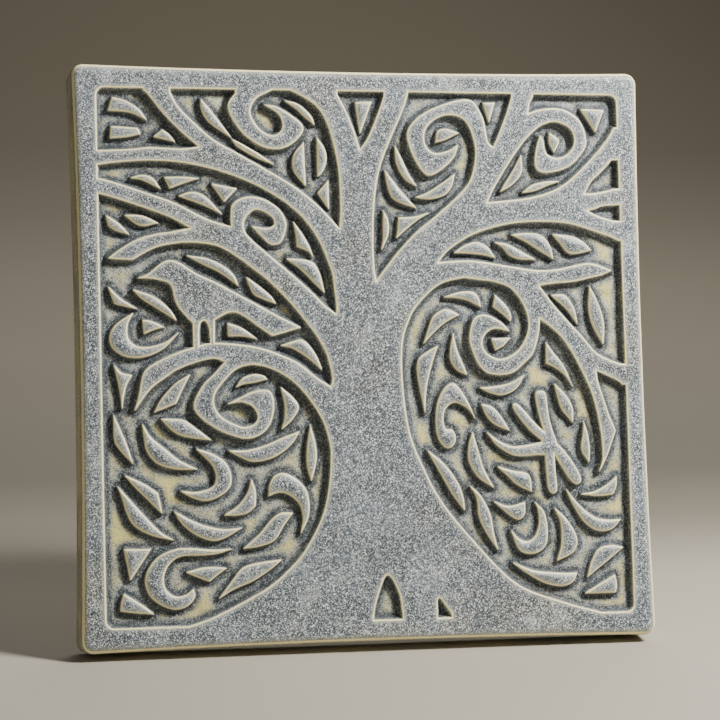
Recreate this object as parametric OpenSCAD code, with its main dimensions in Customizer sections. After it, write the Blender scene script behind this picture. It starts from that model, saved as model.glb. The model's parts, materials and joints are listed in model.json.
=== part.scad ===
// Square fired-clay relief tile: a spreading tree of life with a crow on its perch,
// a dragonfly in its shade and leaves and curls in every hollow.
// The tile stands upright on its lower edge: X is width, Z is up and the carved face looks along -Y.

/* [Tile] */
// Width of the tile
tile_w = 152; // [120:1:200]
// Height of the tile
tile_h = 150; // [120:1:200]
// Thickness of the clay slab behind the carving
slab_t = 10.5; // [6:0.5:16]
// Height of the carving above the slab
relief_h = 2.4; // [1:0.1:5]
// Radius of the tile's four corners
corner_r = 3; // [1:0.5:10]
// How far each side of the tile is drawn in at its middle
side_bow = 0.9; // [0:0.1:2.5]

/* [Border] */
// Width of the plain border around the tree
border_w = 6.2; // [3:0.1:14]
// Radius of the border's inner corners
inner_r = 2; // [1:0.5:6]

/* [Finish] */
// Steps between two points of a carved curve
curve_steps = 4; // [2:1:8]

/* [Hidden] */

clay_grey = "#84877f";
clay_blue = "#7f8890";
clay_cream = "#b9b294";
clay_tan = "#b5a283";

// The carving is laid out on a panel of this size, measured from its lower left corner.
PANEL = [152, 150];
// Border width on that panel
PANEL_BORDER = 6.2;

total_t = slab_t + relief_h;
back_y = total_t / 2;
relief_y = back_y - slab_t;
opening = [tile_w - 2 * border_w, tile_h - 2 * border_w];
stretch = [opening[0] / (PANEL[0] - 2 * PANEL_BORDER), opening[1] / (PANEL[1] - 2 * PANEL_BORDER)];
corner_step = 15;

// ---- curves -------------------------------------------------------------------------------

// One point of a smooth curve between b and c, which passes through a, b, c and d
function between(a, b, c, d, t) =
    0.5 * (2 * b + (c - a) * t + (2 * a - 5 * b + 4 * c - d) * t * t + (3 * b - a - 3 * c + d) * t * t * t);

// Points of the smooth curve through pts, without its last point
function smooth(pts) = len(pts) == 2 ? [pts[0]] : [for (i = [0:len(pts) - 2], k = [0:curve_steps - 1])
    between(i == 0 ? 2 * pts[0] - pts[1] : pts[i - 1], pts[i], pts[i + 1],
        i == len(pts) - 2 ? 2 * pts[i + 1] - pts[i] : pts[i + 2], k / curve_steps)];

// A closed outline of smooth runs. Each run ends, with a crisp corner, where the next begins.
function outline(runs) = [for (i = [0:len(runs) - 1])
    each smooth(concat(runs[i], [runs[(i + 1) % len(runs)][0]]))];

// A point of the panel's drawing, in the tile's own place and size
function placed(p) = [border_w - tile_w / 2 + (p[0] - PANEL_BORDER) * stretch[0],
    border_w + (p[1] - PANEL_BORDER) * stretch[1]];

// One side of a plate from a to b, drawn in by bow at its middle
function bowed(a, b, bow) = let (along = b - a, inward = [-along[1], along[0]] / norm(along))
    [for (k = [0:11]) let (t = k / 11) a + along * t + inward * bow * 4 * t * (1 - t)];

// The quarter circle at a plate's corner, from the direction of angle start
function corner(centre, r, start) = [for (a = [start:corner_step:start + 90]) centre + r * [cos(a), sin(a)]];

// A plate's outline with round corners, counter-clockwise from its lower side
function plate(w, h, r, bow, foot_bow) = let (x = w / 2) concat(
    bowed([r - x, 0], [x - r, 0], foot_bow), corner([x - r, r], r, 270),
    bowed([x, r], [x, h - r], bow), corner([x - r, h - r], r, 0),
    bowed([x - r, h], [r - x, h], bow), corner([r - x, h - r], r, 90),
    bowed([-x, h - r], [-x, r], bow), corner([r - x, r], r, 180));

// ---- hollows cut around the tree ------------------------------------------------------------

HOLLOW_CORNER = [[[3, 147]], [[18.3, 147]], [[18.3, 143.4], [20, 141.7], [23.7, 137], [28, 132.6]],
    [[32.5, 128.7], [28, 128.1], [20, 128.4], [14, 127.8]], [[3, 127.4]]];
HOLLOW_UPPER_LEFT = [[[25.3, 147]], [[42.3, 147]],
    [[42.3, 142.8], [40.3, 139.5], [42.2, 134.8], [45.3, 131.3], [50, 128.7], [54.5, 128.6],
        [58.3, 131], [60, 134.2], [57, 137.1], [53, 139.4]],
    [[49.9, 139.9], [53.7, 137.4], [54.5, 133.8], [52.2, 131.8], [48.6, 133.3], [46.1, 137.6],
        [47.5, 141.3], [51, 143.3], [54.5, 144.4], [59, 142.8], [64, 139.4], [67, 133.5], [69, 124],
        [69.4, 114]],
    [[69, 107.5], [64, 113], [58, 118], [51, 122.3], [43, 126.8], [36, 130.8], [30, 136.2], [27, 139.5]],
    [[25.3, 142.8]]];
HOLLOW_CROWN = [[[69.3, 147]], [[81.8, 147]], [[81.8, 142.6], [80.3, 138.5], [77.5, 132]],
    [[75, 128.3], [73.5, 133.5], [71.5, 138.5]], [[69.3, 142.8]]];
HOLLOW_TOP = [[[89.3, 147]], [[116.6, 147]], [[116.6, 142.8], [115, 138], [113, 133.3]],
    [[111.2, 129.3], [109.7, 131], [108.9, 135.9], [107.7, 138.9], [105.6, 141.7], [101.3, 141.6],
        [94.7, 139.3], [90.4, 136.6], [87.9, 133.2], [88.4, 129.3], [90.4, 124.8], [93.2, 121.8],
        [97, 123.5], [100.3, 126.7]],
    [[101.5, 129.9], [99, 128.3], [95, 127.6], [92.6, 130], [92.8, 134], [96, 137], [100.3, 137.9],
        [104.1, 135.9], [106.2, 129.5], [105.5, 123.2], [102.9, 118.1], [95, 111], [89.9, 107],
        [84.4, 101.4], [80.1, 96.1]],
    [[78.4, 93.8], [77.9, 98], [77.9, 106], [78.6, 116], [80.4, 124.5], [83.8, 132.5], [87.2, 140]]];
HOLLOW_UPPER_RIGHT = [[[122.6, 147]], [[149, 147]], [[149, 135.2]],
    [[144.9, 135], [142.3, 131], [137, 125.2], [131, 119.9], [126, 117.3], [120, 115.8], [114, 115.1]],
    [[109, 114.6], [110.7, 118], [114, 123.3], [118, 129], [121.5, 133], [125, 135.6], [129, 136.4],
        [132.8, 134.5], [133.7, 131], [132, 127.9], [128.8, 126.6], [125.8, 127.8], [125, 131.5]],
    [[124.2, 132.6], [122.9, 128.5], [122.8, 124], [126, 122.8], [132, 124.5], [136.3, 129],
        [136.9, 132.5], [135, 137.2], [130.5, 139.8], [125, 139.7]],
    [[121, 138.5], [121.7, 141.5]], [[122.6, 143.2]]];
HOLLOW_RIGHT_EYE = [[[149, 126.3]], [[149, 118.6]], [[144.6, 118.5], [141, 117.6], [138.5, 117.2]],
    [[136, 117.1], [138, 120.5], [140, 122.3], [142, 124.2]], [[143.9, 126.3]]];
HOLLOW_RIGHT_SLIT = [[[136.5, 112.6], [139, 113.2], [141.5, 114]], [[149, 114.3]], [[149, 109.8]],
    [[143.9, 109.8], [140, 111]]];
HOLLOW_LEFT_BOUGH = [[[3, 123.9]],
    [[6.5, 123.9], [12, 124.6], [20, 125.1], [28, 124.6], [36, 123], [43, 120.7], [49, 118], [55, 114.3],
        [60, 109.7], [63.6, 104.2], [65.7, 98.9], [66.8, 95.6], [67.2, 91.5], [67.6, 88]],
    [[67.5, 85.3], [64.6, 87.5], [60.3, 91.8], [55.5, 96.1], [50.2, 100.6], [45.3, 104.9],
        [43.7, 107.5], [44.2, 110.5], [47, 112.6], [50.8, 111], [51.8, 108.8], [49.9, 107.6]],
    [[45.9, 108.1], [48.6, 105.3], [50.7, 103.5], [53.2, 104], [54.6, 107], [54.7, 109.5], [53, 112.6],
        [49, 115.2], [44.5, 115.7], [41, 113.9], [40.4, 111]],
    [[40.4, 108], [34, 110], [26, 114], [18, 116.8], [12, 118.8], [6.8, 120.2]], [[3, 120.2]]];
HOLLOW_LEFT = [[[3, 116.9]], [[6, 116.6], [11, 115.2], [19, 112.6], [25, 110.3]],
    [[30, 107.6], [25.3, 106.7], [20.7, 106], [16.2, 104.7], [12.1, 102.4]],
    [[8.6, 99.9], [11.9, 99.6]],
    [[14.7, 99.5], [18.2, 101.5], [21.8, 103], [27.3, 103.9], [31.9, 103.9], [37, 103], [41.3, 100.6],
        [45.1, 97.8], [50.2, 93.8], [55.5, 88.3], [60.8, 81.6], [63.3, 77.8], [65, 74], [66, 69]],
    [[65.5, 66.5], [61.8, 68.9], [57.3, 72.5], [53.2, 74.5], [48.1, 76.4], [43.1, 77.4], [35.3, 78],
        [29.8, 76.9], [25.3, 75.4], [21.8, 73.9], [19, 72.4], [17.1, 70.7], [16.3, 68.2], [15.6, 64.5]],
    [[14.5, 61.1], [18.5, 66.4], [22.3, 69.2], [25.3, 71.2], [29.9, 73], [35, 74.1]],
    [[38, 73.2], [35.2, 70.2], [31.9, 66.9], [29.7, 62.5], [30.9, 59.6], [34.4, 56.8], [38.2, 54.8],
        [43, 53.5], [46.6, 54.4], [49.2, 57], [50.4, 61.3], [49.8, 65.1], [47.4, 65.8], [44.3, 65.1],
        [41.3, 63.7]],
    [[38.5, 62.4], [41.8, 62.9], [44.8, 61.8], [46.2, 59.2], [45.1, 57], [42, 56.4], [37, 58.8],
        [34.9, 62], [35.2, 65.1], [37.5, 68.2], [40.5, 71.1], [44.5, 72.4], [49.4, 71.6],
        [55.2, 68.4], [59.8, 63.4], [63.3, 57.5], [64.9, 51.7], [65, 47], [64.2, 39.8], [62.1, 32.4],
        [57.5, 24.3], [53, 19.4], [48.1, 15.5], [42, 12.2], [36, 9.3], [31, 7.3]],
    [[26, 5.9]], [[26, 3]], [[3, 3]]];
HOLLOW_RIGHT_BOUGH = [
    [[95.1, 98.7], [97.5, 101.6], [101.3, 104.3], [105.1, 106.3], [109.2, 107.7], [114, 108.9],
        [120, 109.6], [127.2, 109.6], [132.3, 109], [137.3, 107.5], [142.4, 105.8]],
    [[145.1, 104.6]], [[149, 104.6]], [[149, 71.6]],
    [[144.6, 71.6], [141.5, 72.7], [137.6, 74.8], [134, 79], [130.2, 83.1], [126.2, 87.7]],
    [[122.5, 92.7], [127.2, 93.3], [132.3, 93.7], [137.3, 94.8], [140, 95.4]],
    [[142.8, 96.6], [139.9, 97.7], [136.3, 98.5], [131.8, 97.7], [127.2, 96.8], [122.1, 96.6],
        [117.1, 97.3], [112, 98.1], [105.1, 99.1], [100.1, 99.1]]];
HOLLOW_RIGHT = [
    [[102.1, 94.8], [97.3, 93.8], [94.2, 92.3], [91.2, 89.7], [88.9, 87.2], [87.3, 84.7], [85.3, 79.6],
        [84.6, 74], [84.7, 66], [85.5, 58], [86.8, 52], [89.3, 45.8], [92.5, 39], [96.8, 32.6],
        [104.4, 23.6], [109.4, 18.2], [113.5, 14.6], [118.6, 11.9], [128.7, 8.5], [134, 7]],
    [[138, 5.9]], [[138, 3]], [[149, 3]], [[149, 66.2]],
    [[144.9, 66.2], [143.4, 67.4], [140.4, 68.8]],
    [[137.6, 70], [138, 66.7], [138.9, 63.9], [140.6, 58.5]], [[142.4, 54], [140.9, 50.2], [139.4, 46.6]],
    [[137.6, 43.4], [138.6, 47], [138.3, 54], [136.6, 62.6], [133.5, 70.2], [129.7, 77.1], [126.7, 80.6]],
    [[122.5, 83.9], [122, 80], [120.4, 75], [118, 72.4], [114, 69.5], [108.7, 69.4], [105.9, 71.2],
        [104, 75], [103.1, 79], [104.4, 83.7], [107.5, 84.9], [111.5, 83.1]],
    [[114, 80.6], [110.2, 81.4], [107.4, 79.9], [106.5, 77], [108.2, 74.3], [112, 73.2], [116.6, 75.8],
        [119.2, 81], [118.6, 86.4], [115, 91.8], [110.2, 93.7], [106.4, 94.2]]];
HOLLOW_ARCH = [[[75.2, 3]], [[82.9, 3]],
    [[82.9, 7.6], [82.3, 12.2], [81, 15.6], [79.7, 17.5], [78.5, 17.2], [77, 13.9], [75.6, 9.5]],
    [[75.2, 7]]];
HOLLOW_BURROW = [[[92.2, 3]], [[96, 3]], [[96, 7.2], [94.2, 9.8], [93, 11.4], [92.3, 10.8]], [[92.2, 8]]];
HOLLOWS = [HOLLOW_CORNER, HOLLOW_UPPER_LEFT, HOLLOW_CROWN, HOLLOW_TOP, HOLLOW_UPPER_RIGHT,
    HOLLOW_RIGHT_EYE, HOLLOW_RIGHT_SLIT, HOLLOW_LEFT_BOUGH, HOLLOW_LEFT, HOLLOW_RIGHT_BOUGH,
    HOLLOW_RIGHT, HOLLOW_ARCH, HOLLOW_BURROW];

// Where the curl that hangs free of the tree, from the top border, has its place
HANGING_REGION = [[39.6, 131.5], [46, 127.9], [60.8, 127.9], [60.8, 138], [54.4, 145], [39.6, 145]];

// ---- creatures and free curls ---------------------------------------------------------------

CROW = [[[16.1, 94.8], [18.7, 95.8], [21.8, 98.3], [24.3, 99.3], [27.3, 98.3], [31.1, 95.8],
        [36.2, 93.5], [41, 90.9], [46, 88.2], [51.9, 85]],
    [[57.9, 81.9], [54.5, 80.9]], [[50.5, 79.8], [47.6, 81.8], [44.1, 84.4], [41.5, 85.8], [39, 85.8]],
    [[35.5, 84], [35.4, 80]], [[35.4, 75.5]], [[34.3, 75.5]],
        [[34.3, 79], [34, 82.3], [33, 83.8], [31.8, 83.2]],
    [[31.4, 81]], [[31.4, 75.5]], [[29.9, 75.5]],
    [[29.9, 83.2], [27.6, 85.7], [26.1, 87.7], [25.2, 90.2], [24.7, 92.6], [23.3, 93.8], [19.7, 94.7]]];
DRAGONFLY = [[[107.2, 54], [110.2, 50.4], [114.8, 47.9], [120.4, 48]],
    [[122.9, 47.9], [123.1, 43.6], [123.5, 39.3], [124.7, 37.8], [125.8, 39], [125.5, 43.6]],
    [[125.4, 48.4], [127.5, 44.6], [129.8, 41.2], [131.5, 40.1], [132.5, 41.6], [130.5, 45.6],
        [127.8, 49.2]],
    [[126.2, 50.8], [125.8, 52.3]],
    [[125.4, 53.2], [124.4, 56.8], [123.9, 60.3], [123.5, 64], [122.2, 64.7], [120.8, 63.9], [121.3, 60],
        [122.1, 56.8]],
    [[122.9, 53.9], [119.8, 56.8], [117.3, 59.8], [115.4, 61.4], [114.5, 60.6], [116.8, 57], [119.5, 54]],
    [[121.9, 52], [121.8, 51.2], [118.8, 50.6], [114, 50.2], [110.5, 51.6]]];
NEST_CURL = [
    [[14.6, 85.8], [11.5, 83.9], [9.3, 81.8], [8.6, 79.2], [9.5, 76.8], [12.2, 75], [15.5, 74.5],
        [18.8, 75.1], [22.5, 77]],
    [[26.1, 80.7], [22.5, 78.2], [18, 77.1], [15, 77.6], [13.2, 79.7], [13.2, 83]]];
NEST_BUD = [[[17.1, 84.1], [19.5, 83.7]], [[22.4, 82.3], [19.8, 81.6]], [[17.4, 80.6]]];
MEADOW_HOOK = [
    [[30.2, 51], [33.7, 49.9], [37.2, 47.8], [38.9, 44.5], [38.5, 41.1], [35.4, 38.7], [32.1, 37.9],
        [28.6, 38.9]],
    [[26, 40.4], [29.9, 40], [33.9, 41.1], [35.1, 43.6], [34.4, 46.6], [32.4, 48.9]]];
CLAW_CURL = [[[48.6, 38.7], [49, 41.8], [50.7, 44], [53.5, 44.2], [57.5, 41.4], [59.1, 37.5], [58.8, 33]],
    [[56.8, 29], [57.5, 33.3], [56.3, 37], [53.2, 39.3], [50.8, 39.5]]];
ROOT_HOOK = [
    [[38.6, 25.4], [33.7, 25.3], [28.6, 25.8], [24.8, 25.8], [20.2, 24.1], [17.2, 20.8], [16.4, 17.5],
        [17.5, 14.4], [20.2, 11.9], [23.8, 10.6], [27, 11.4], [28.8, 13.5]],
    [[28.6, 15.5], [26.5, 14], [23.8, 13.8], [21.5, 15.7], [21.1, 19], [22.7, 22.2], [25.8, 24],
        [31, 24.1], [35, 24.4]]];
SHADE_HOOK = [
    [[104.1, 57.7], [102.6, 61.3], [100.8, 64.6], [98.5, 67], [96, 65.6], [94, 61.8], [93.4, 57],
        [93.9, 53.2], [95.3, 50.9], [96.9, 50.2], [98.3, 51.4], [98.6, 53.2]],
    [[97.9, 54.8], [96, 55.2], [95.4, 57.8], [96.2, 60.6], [98.8, 62.1], [102.4, 60.3]]];
POND_HOOK = [
    [[113, 28.2], [115, 26], [117.3, 25.3], [119.4, 26.6], [120.6, 30], [120.5, 33.5]],
    [[119.8, 35.4], [122, 33], [122.8, 29], [122.5, 25], [120.7, 22.8], [117.6, 22.2], [114.8, 23.6]]];

// ---- leaves, each with its tips at the ends of its runs ---------------------------------------

CORNER_LEAVES = [
    [[[9.3, 138]], [[10.4, 141.3], [13.5, 140.6], [17, 138.5]], [[19.1, 135.7], [15, 137.5]]],
    [[[9.7, 130.8]], [[10, 133.8], [13, 133.7]], [[16.8, 133.4]], [[17.5, 132], [14, 131.2]]],
    [[[20.9, 131.3]], [[23.2, 133.1], [25, 131.8]], [[26.3, 130.1]]]];
UPPER_LEFT_CURL_LEAVES = [
    [[[33.3, 141.2], [33.5, 138.5], [35.5, 135.2]], [[41, 131.4], [38, 135.5], [35.3, 139]]],
    [[[41.3, 130.8], [43, 128.8], [48, 126]], [[52, 124.5], [48, 127.2], [43.5, 129.8]]]];
CROWN_LEFT_LEAVES = [
    [[[55.5, 141.1], [59, 140.2], [62.2, 137.3]], [[63.1, 134.9], [60.5, 137.1], [58.5, 139]]],
    [[[60.1, 130.2], [57.5, 127], [57.1, 123.5], [58.6, 121]], [[60.4, 118.9]]],
    [[[63.7, 131.5], [65.6, 128.8], [66.1, 125.8], [65, 122.7]], [[63.7, 121.4]]],
    [[[66.4, 120.2]], [[63.6, 117]], [[66.4, 112.8]]]];
CROWN_LEAF = [[[[74.2, 140.9]], [[78.6, 141.2]], [[75.3, 132.8]]]];
CROWN_RIGHT_LEAVES = [
    [[[84.6, 129.5], [84.9, 125], [87, 121]], [[90, 119], [88, 122.3], [86.3, 126.2]]],
    [[[81.7, 123], [82.3, 119], [84, 115.4]], [[89.8, 113.2], [86.5, 116.8], [84, 120]]],
    [[[89.8, 116], [93.5, 115.6], [97.5, 116.6], [99.6, 119]],
        [[100.5, 122.2], [97.3, 119.9], [93, 117.2]]],
    [[[81, 112.4], [80.8, 108], [80.7, 105]], [[80.2, 102.2], [82, 106], [82.2, 109.5]]],
    [[[85, 110.6], [84.7, 107.5]], [[84.3, 105.3], [87.4, 108], [90, 110]],
        [[93.2, 111.9], [89, 110.8]]]];
TOP_CURL_LEAVES = [
    [[[95.6, 130.6], [96.2, 133.4], [98.5, 134.2]], [[101.9, 133.2], [98.5, 131.5]]],
    [[[109, 141.2]], [[112.1, 141.4]], [[110.4, 136.2]]]];
RIGHT_CURL_LEAVES = [
    [[[127, 133.5], [129.6, 131.5]], [[128.2, 128.3], [126.9, 131]]],
    [[[113, 117.7], [116.5, 119.8], [119, 123]], [[119, 127.4], [116.3, 122.8], [114.3, 119.8]]],
    [[[119, 117.4], [122, 119.5], [126, 120.4]], [[129.2, 120.5], [126, 119.4], [122.5, 118]]],
    [[[136, 140]], [[142.4, 139.8]], [[139.9, 133.9]]]];
LEFT_BOUGH_LEAVES = [
    [[[14.8, 120.6], [17.5, 121.3], [20.3, 120.6]], [[22.3, 117.9], [18, 120]]],
    [[[23.5, 120.8], [28, 120.9]], [[32.2, 120.6], [28.5, 119.4]], [[24.8, 118]]],
    [[[27.1, 116], [30.5, 117], [34, 115.8]], [[38.1, 111.4], [33.5, 113.7]]],
    [[[35.7, 119.2]], [[42.1, 118]], [[38.9, 114.6]]]];
INNER_CURL_LEAVES = [
    [[[56.9, 109.4], [59.3, 106], [60.9, 103]], [[61.8, 100.3], [60.6, 101.8]],
        [[57.7, 103.1], [57.5, 106]]],
    [[[54.9, 99.8], [58.5, 99.6], [61.8, 98.7], [63.5, 95.8]], [[64.6, 91], [62.2, 93.4], [58.5, 97.1]]]];
LEFT_EDGE_LEAVES = [
    [[[8.3, 110.9], [11.5, 108.8]], [[14, 106.1], [10.6, 107.1]], [[8.9, 108.3]]],
    [[[13.1, 111], [17.5, 110.8]], [[21.5, 109], [17, 108.3]]]];
CROW_BACK_LEAVES = [
    [[[28.8, 100.6], [34, 99.8], [38.5, 97.7], [41, 95.3]], [[42, 92.9], [37.5, 96.2], [33, 98.4]]],
    [[[44.2, 95], [47.9, 92.3], [50.5, 90]], [[51.7, 88.2], [48.1, 89.6], [45.8, 91]]]];
CROW_BREAST_LEAVES = [
    [[[14.8, 91.9], [19.7, 90.2], [22.8, 88], [24.8, 85.8]], [[25.7, 84], [22.8, 85.9], [17.2, 89.5]]],
    [[[8.5, 92.6], [11.5, 89.7]], [[15.6, 87], [10.6, 88.2]], [[9.8, 88.9]]]];
CROW_TAIL_LEAVES = [
    [[[39, 83.1], [42.6, 81.9]], [[46.5, 79.1], [43.1, 79.8]], [[39.1, 79.9]]],
    [[[52.8, 77.3], [55.7, 78.2], [58.3, 78.7], [60.5, 76.9], [62.3, 74]],
        [[63.4, 71], [60, 74], [56, 76.6]]]];
PERCH_SPIKE = [[[[9.6, 72.6], [11.3, 70.7]], [[14, 70], [12.6, 67.5], [11.8, 64.5]],
    [[11.4, 61.7], [10.9, 66.4]]]];
PERCH_LEAVES = [
    [[[19.6, 60.6], [21.5, 63.9], [25, 67.6]], [[28.9, 70], [27, 66.5], [25.3, 63]],
        [[24.8, 62.6], [22, 61.5]]],
    [[[21.3, 58.8], [24.5, 58.7], [27.3, 58.3], [30.5, 56]], [[33.9, 53.3], [28.3, 54.1], [24.8, 55.4]]]];
MEADOW_LEAVES = [
    [[[9.2, 59.9], [10.9, 56], [12.6, 51.7]], [[13.8, 47.7], [10.4, 51.5], [9.3, 54]]],
    [[[16.5, 57.5], [18.5, 54.2], [22, 51.2], [25.5, 48.3]],
        [[30.2, 45.9], [24.8, 46.1], [20.3, 47.5], [17.6, 50.6], [16.9, 54]]]];
PERCH_CURL_LEAVES = [
    [[[40.8, 66.7], [42.6, 68.9], [45.6, 69.9], [48, 69.5]], [[48.9, 68.7], [45.6, 67.9], [42.8, 67.5]]],
    [[[38.6, 50.5], [43.1, 50.4], [48.1, 51.6], [53.2, 53.7]],
        [[57, 55], [54.7, 51.7], [50.2, 48.6], [45, 47.6], [41.3, 49]]]];
TRUNK_LEFT_LEAVES = [
    [[[52.5, 66.5], [55.5, 63.9], [57, 61.3], [55.2, 58.2]], [[52.5, 55.8], [53.3, 58.8], [53.4, 62.6]]],
    [[[60, 56.6], [61.2, 51.5], [61.3, 47.5]], [[59.9, 42.4], [58.9, 46.5], [59, 51]]]];
GRASS_BLADES = [
    [[[11.8, 44.6], [16.5, 42.4]], [[20, 40], [20.5, 37.8]], [[21, 34.9], [17.5, 38.5], [14.7, 41.3]]],
    [[[9.9, 41.8], [13.4, 37.8], [17.7, 32.9], [20.7, 29.9]],
        [[23.6, 28.1], [18.2, 29.5], [13.9, 32], [12, 35.5], [11, 39]]]];
BOWL_LEAVES = [
    [[[24.3, 35.2], [28.6, 32.8], [32.7, 31.2], [37, 30.4]],
        [[41.4, 30.7], [36.7, 28.2], [33.4, 27.8], [29.3, 29.5], [26.1, 32.2]]],
    [[[37.1, 34.1], [40.5, 36.2], [43.1, 39.5]], [[44.2, 42.9], [45.2, 40]],
        [[45.1, 36.3], [43.1, 34.6], [40.3, 34]]]];
ROOT_LEFT_LEAVES = [
    [[[41.8, 25.5], [45.9, 28.9], [49, 32.4], [51.7, 34.2]],
        [[54.7, 34.2], [52.2, 30.9], [49.8, 27.4], [46, 26]]],
    [[[35.2, 13], [38.4, 17], [41.5, 20.5], [46, 21.7]],
        [[51.5, 22.3], [48.6, 20], [44, 17.2], [39, 15.2]]]];
ROOT_HOOK_BUDS = [
    [[[27, 19.8], [31.1, 20.8], [34, 20.9]], [[37.2, 20.6], [35, 19.1]], [[32.8, 17.4], [30, 18.5]]],
    [[[11.2, 26]], [[17.9, 25.9]], [[12.6, 18.3]]],
    [[[10.9, 14.8], [13.8, 13], [16.4, 11.2]], [[18.3, 9.6], [14, 10]], [[10, 10.6], [10.2, 12.5]]]];
RIGHT_BOUGH_LEAVES = [
    [[[99.8, 101.4], [102.6, 103.2], [105.9, 104.2], [108.9, 102.9]],
        [[110.9, 100.1], [107.7, 100.9], [103.4, 101.3]]],
    [[[111, 104.2], [114.5, 103.6], [118.3, 101.6]],
        [[121.9, 99.6], [117.6, 99.8], [114.8, 100.9], [113, 103]]],
    [[[115.7, 106.2], [120.1, 106.6], [124, 105.9], [126.2, 103]],
        [[126.9, 99.8], [122.9, 102.3], [119.6, 104.4]]],
    [[[127.1, 106.3], [132.3, 105.7], [135.5, 104.2]],
        [[137.5, 102.1], [133.5, 101.2], [131, 101.5], [129, 104]]]];
RIGHT_EDGE_LEAVES = [
    [[[126.1, 90.1], [129.8, 90], [132.2, 86.5]], [[133, 82.5], [130.2, 86.4]]],
    [[[136.7, 92.4], [138.7, 88.5], [140.2, 84], [140.4, 80.5]],
        [[140, 77], [137.3, 82.1], [136.3, 86.5]]]];
SHADE_CURL_LEAVES = [
    [[[96.8, 89.7], [100.8, 90.9], [104.4, 91], [106, 89.5]], [[106.6, 87.1], [103, 88.9], [99.5, 89.6]]],
    [[[90.8, 77.6], [92, 80.9], [93.5, 84.4], [96.3, 86.3], [98.5, 86.1]],
        [[100.5, 85], [96.8, 83.1], [93.7, 80.6]]],
    [[[110.6, 90.1], [113.3, 87.5], [114.7, 85]], [[114.6, 83.3], [112.5, 85.2]], [[109.9, 87.2]]]];
SHADE_CURL_BUD = [[[[109.3, 78.6]], [[114.3, 78.8]], [[112.3, 76.7]], [[110.2, 75.7]]]];
TRUNK_RIGHT_LEAVES = [
    [[[94.5, 76.8], [93, 72.8], [91.6, 68], [90.9, 64]],
        [[90.6, 59.5], [89.6, 64.9], [88.8, 70.2], [89.3, 73.4], [91.7, 75.3]]],
    [[[98.8, 80], [99.8, 75.5], [101.4, 71.6]], [[102.2, 69.3], [99.6, 70.6], [97.9, 73.2], [98, 76.5]]]];
DRAGONFLY_LEAVES = [
    [[[105.8, 65.8], [109.4, 66], [114, 66.9]], [[117.9, 69], [115.5, 65.5], [112, 63.9], [108.5, 64.5]]],
    [[[106, 61.4], [108.6, 60.8], [111, 58.3]], [[113.3, 54.5], [109.5, 56.2], [107.4, 58.3]]],
    [[[103.3, 54.2], [104.6, 49.4], [106, 44.5]],
        [[108.5, 39.7], [104.4, 42.6], [102.1, 46.8], [102.2, 50.8]]]];
ROOT_RIGHT_LEAVES = [
    [[[91.1, 49.5], [95.3, 46], [98.8, 41.1], [100.2, 37]], [[100.5, 33.9], [97.5, 38], [94.3, 43.7]]],
    [[[102.2, 40.2], [105, 37.4], [107.3, 32.8], [108.1, 28]],
        [[109.2, 23.4], [106.4, 27.6], [104.4, 32], [103.9, 37]]]];
DROOP_LEAVES = [
    [[[124.2, 77.5], [126.2, 74.7], [128.8, 71.2]], [[131.1, 65.9], [129.2, 68.8], [126.4, 71]],
        [[124, 72.1]]],
    [[[126.1, 66.5], [129.2, 63.4], [130.9, 60]], [[130.8, 56.4], [128, 59.8], [126.9, 63]]],
    [[[133.8, 56.5], [134.8, 53], [135.2, 49]], [[134.9, 45.8], [133, 49.2], [133.5, 53]]]];
POND_LEAVES = [
    [[[109.9, 45], [114, 43.8], [117.6, 43.1], [118.7, 41.3]],
        [[118.8, 38.4], [115, 40.3], [112.5, 42.7]]],
    [[[125.1, 33.8], [128, 31], [130.2, 27.6], [130.9, 24.8], [129.5, 22.1]],
        [[125.3, 20.2], [126.6, 24.5], [126.6, 30]]],
    [[[113.2, 19.9], [118.6, 17.7], [124, 17], [128, 16.7]],
        [[130.6, 16.8], [129.2, 14.4], [126, 13.5], [121.1, 14.7], [116.1, 17.7]]]];
POND_CUP = [[[[108.6, 35.9], [112.5, 34.6]], [[116.9, 35.6], [116.7, 32.5], [115, 31.2], [112.5, 32.6]]]];
REED_LEAVES = [
    [[[132.6, 37.4], [136.3, 38], [139.9, 39.8]], [[142.4, 41.8], [142.2, 39.3]],
        [[141.2, 37.2], [137, 36.9]]],
    [[[128.4, 38.6], [132, 34.3], [136, 31.2], [139.5, 30.4]],
        [[143.1, 30.5], [140.6, 28.1], [137, 27.7], [133.3, 29.9], [130.5, 34.2]]]];
CORNER_RIGHT_LEAVES = [
    [[[133.4, 15.6], [134.7, 19.5], [136.8, 22.8], [140.4, 23.7]],
        [[143.5, 23.1], [140.1, 20.5], [136.5, 17.9]]],
    [[[132.7, 11.4], [136.8, 13.7]], [[141, 15.9], [141.4, 13]], [[140.9, 11.4]]]];

// ---- building blocks --------------------------------------------------------------------------

// A flat shape in the XZ plane, raised towards the front from the plane y by h
module raised(y, h) {
    translate([0, y, 0]) rotate([90, 0, 0]) linear_extrude(h) children();
}

// A carved outline of the panel's drawing, in its place on the tile
module carved(runs) {
    polygon([for (p = outline(runs)) placed(p)]);
}

// The opening that the border leaves for the tree
module opening_shape() {
    translate([0, border_w]) polygon(plate(opening[0], opening[1], inner_r, 0, 0));
}

// The part of the panel's drawing in which the hanging curl lies
module hanging_region() {
    polygon([for (p = HANGING_REGION) placed(p)]);
}

// Tree and hanging curl: the opening without its hollows
module standing_shape() {
    difference() {
        opening_shape();
        for (hollow = HOLLOWS) carved(hollow);
    }
}

// Every outline of a list, raised from the slab as separate leaves
module sprig(leaves) {
    color(clay_blue) for (leaf = leaves) raised(relief_y, relief_h) carved(leaf);
}

// ---- sub-parts --------------------------------------------------------------------------------

module clay_slab() {
    color(clay_tan) raised(back_y, slab_t) polygon(plate(tile_w, tile_h, corner_r, side_bow, 0));
}

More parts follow.
